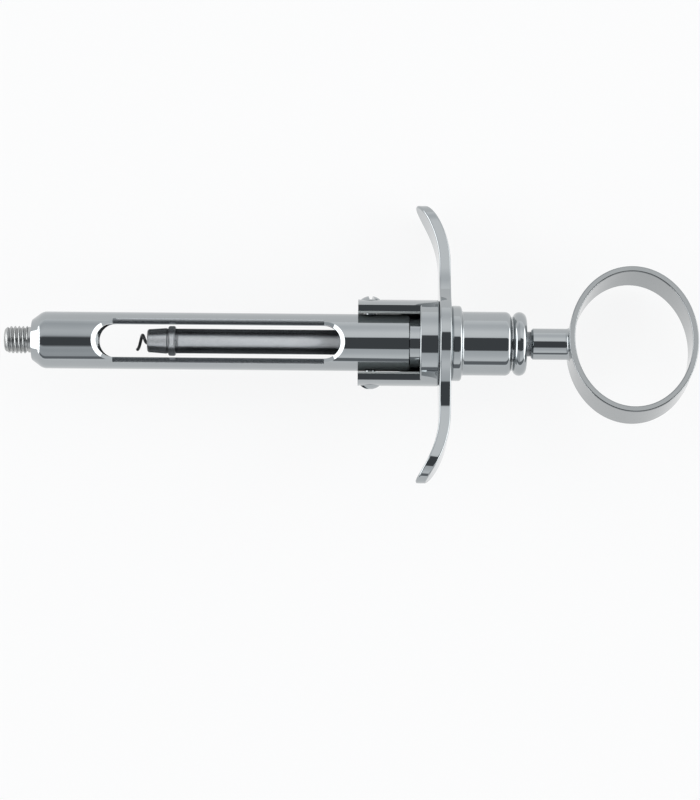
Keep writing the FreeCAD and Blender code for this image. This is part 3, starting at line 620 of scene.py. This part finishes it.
ridge = draw_outline("thread_ridge", [(THREAD_START + along, radius) for along, radius in TOOTH_SHAPE])
helix = ridge.modifiers.new("helix", "SCREW")
helix.axis = "X"
helix.angle = math.tau
helix.iterations = THREAD_TURNS
helix.screw_offset = THREAD_PITCH * MILLIMETRE
helix.steps = THREAD_STEPS
helix.render_steps = THREAD_STEPS
apply_all(ridge)
bpy.ops.object.mode_set(mode="EDIT")
bpy.ops.mesh.select_all(action="SELECT")
bpy.ops.mesh.remove_doubles(threshold=SAME_POINT)
bpy.ops.mesh.fill_holes(sides=0)
bpy.ops.mesh.normals_make_consistent(inside=False)
bpy.ops.object.mode_set(mode="OBJECT")
print("ridge ends at x =", round(max(v.co.x for v in ridge.data.vertices) / MILLIMETRE, 2), "mm")

# %% Core, ridge and rounded end
thread = turn_piece("needle_thread", [
    (STUB_FRONT, 0), (STUB_FRONT, THREAD_ROOT), (-0.95, THREAD_ROOT),
    (-0.8, THREAD_NECK), (0, THREAD_NECK), (0, 0),
])
combine(thread, ridge, "UNION")
envelope = turn_piece("stub_envelope", [
    (STUB_FRONT, 1.35), (STUB_FRONT, 2.05), (-5.9, 2.3), (-5.72, 2.52), (-5.45, 2.7), (-5.0, 2.84),
    (-4.4, 2.94), (-3.6, THREAD_CREST), (0, THREAD_CREST), (0, NEEDLE_HOLE),
    (STUB_FRONT + 0.15, NEEDLE_HOLE),
])
combine(thread, envelope, "INTERSECT")
clean_up(thread)
finish_piece(thread, "frame", "needle_adaptor", THREAD)

# %% Seat for the cartridge's cap
SEAT_NOSE_RADIUS = 3.4                 # in the barrel's nose
SEAT_RADIUS = 4.55                     # in the barrel's bore

seat = turn_piece("cartridge_seat", [
    (0, NEEDLE_HOLE), (0, SEAT_NOSE_RADIUS), (4, SEAT_NOSE_RADIUS), (4, SEAT_RADIUS), (13.05, SEAT_RADIUS),
    (13.15, 4.45), (13.15, 3.7), (13.05, 3.5), (10.95, NEEDLE_HOLE),
])
finish_piece(seat, "frame", "needle_adaptor", THREAD)

# %% [markdown]
# ## Lock spring
# The spring lies hidden in the housing, around the sleeve's tail. It is a circle as thick as the wire, run
# along a helix, with both ends ground flat. When the knob is pulled back, the real coil is squeezed against
# the housing's rear wall; here it is shown at rest. These sizes are in millimetres too.

# %% Coil with ground ends
COIL_FRONT = 90.1
COIL_REAR = 102.45
COIL_RADIUS = 4.675
WIRE_RADIUS = 0.4
WIRE_SIDES = 20
COIL_TURNS = 5.5
COIL_STEPS = 264

bpy.ops.object.select_all(action="DESELECT")
bpy.ops.mesh.primitive_circle_add(
    vertices=WIRE_SIDES, radius=WIRE_RADIUS * MILLIMETRE, rotation=(math.pi / 2, 0, 0),
    location=(COIL_FRONT * MILLIMETRE, 0, COIL_RADIUS * MILLIMETRE))
coil = bpy.context.object
coil.name = coil.data.name = "lock_coil"
bpy.ops.object.transform_apply(location=True, rotation=True, scale=True)
helix = coil.modifiers.new("helix", "SCREW")
helix.axis = "X"
helix.angle = COIL_TURNS * math.tau
helix.screw_offset = (COIL_REAR - COIL_FRONT) * MILLIMETRE
helix.steps = COIL_STEPS
helix.render_steps = COIL_STEPS
apply_all(coil)
bpy.ops.object.mode_set(mode="EDIT")
for x, cut_ahead in ((COIL_FRONT, True), (COIL_REAR, False)):
    bpy.ops.mesh.select_all(action="SELECT")
    bpy.ops.mesh.bisect(plane_co=(x * MILLIMETRE, 0, 0), plane_no=(1, 0, 0), use_fill=True,
                        clear_inner=cut_ahead, clear_outer=not cut_ahead)
bpy.ops.object.mode_set(mode="OBJECT")
clean_up(coil)
finish_piece(coil, "frame", "lock_spring", SPRING)
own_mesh(coil)

# %% [markdown]
# ## The exact model's pieces
# Every other piece is shown as the exact model has it. Those that are not in the list are polished.

# %% Give the pieces their finish
FINISHES = {
    "barrel": BARREL,
    "needle_adaptor": THREAD,
    "lock_spring": SPRING,
    "friction_ring": RUBBER,
    "piston_rod": PLUNGER,
    "hook_holder": PLUNGER,
    "corkscrew_hook": HOOK,
    "fork": FORK,
    "thumb_ring": RING,
}
for name, node in nodes.items():
    for material_slot in node.material_slots:
        material_slot.material = FINISHES.get(name, POLISHED)
print("finished:", sorted(nodes))
